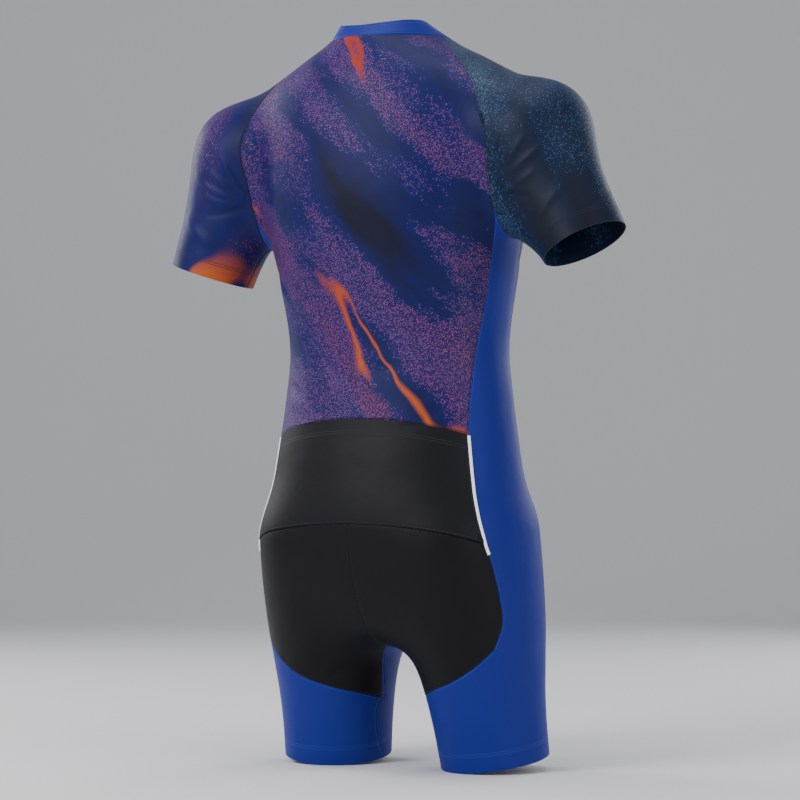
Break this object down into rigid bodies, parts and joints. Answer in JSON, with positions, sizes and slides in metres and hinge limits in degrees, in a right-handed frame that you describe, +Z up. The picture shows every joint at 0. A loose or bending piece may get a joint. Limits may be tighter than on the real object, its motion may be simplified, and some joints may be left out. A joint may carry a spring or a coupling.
{
  "type": "triathlon suit",
  "caption": "One-piece short-sleeved triathlon suit with a low collar, raglan sleeves, a back pocket and mid-thigh legs, hollow as worn.",
  "frame": {"origin": "middle of the neck's base, level with the shoulder seams that the wearer's shoulders carry", "axes": "+Z up, the chest faces -Y, the wearer's left is +X"},
  "size_m": [0.6228, 0.2521, 0.9155],
  "materials": {
    "blue_cloth": "smooth stretch jersey, royal blue",
    "print_cloth": "smooth stretch jersey, marbled print on navy",
    "seat_cloth": "smooth stretch jersey, near black",
    "pocket_cloth": "matt knit, charcoal",
    "reflective_piping": "reflective silver",
    "zip_tape": "woven tape",
    "zip_metal": "satin"
  },
  "bodies": {
    "suit": {"collar": "blue_cloth", "back_panel": "print_cloth", "seat_panel": "seat_cloth", "side_leg_left": "blue_cloth", "side_leg_right": "blue_cloth", "sleeve_left": "print_cloth", "sleeve_right": "print_cloth", "front_left": "print_cloth", "front_right": "print_cloth", "pocket_panel": "pocket_cloth", "piping_left": "reflective_piping", "piping_right": "reflective_piping", "zip_tape": "zip_tape", "zip_slider": "zip_metal"},
    "pull_tab": {"zip_pull": "zip_metal"}
  },
  "joints": [
    {"name": "pull_tab_swing", "type": "hinge", "parent": "suit", "child": "pull_tab", "pos_m": [0, -0.06263, -0.01667], "axis": [-1, 0, 0], "range_deg": [0, 165]}
  ]
}
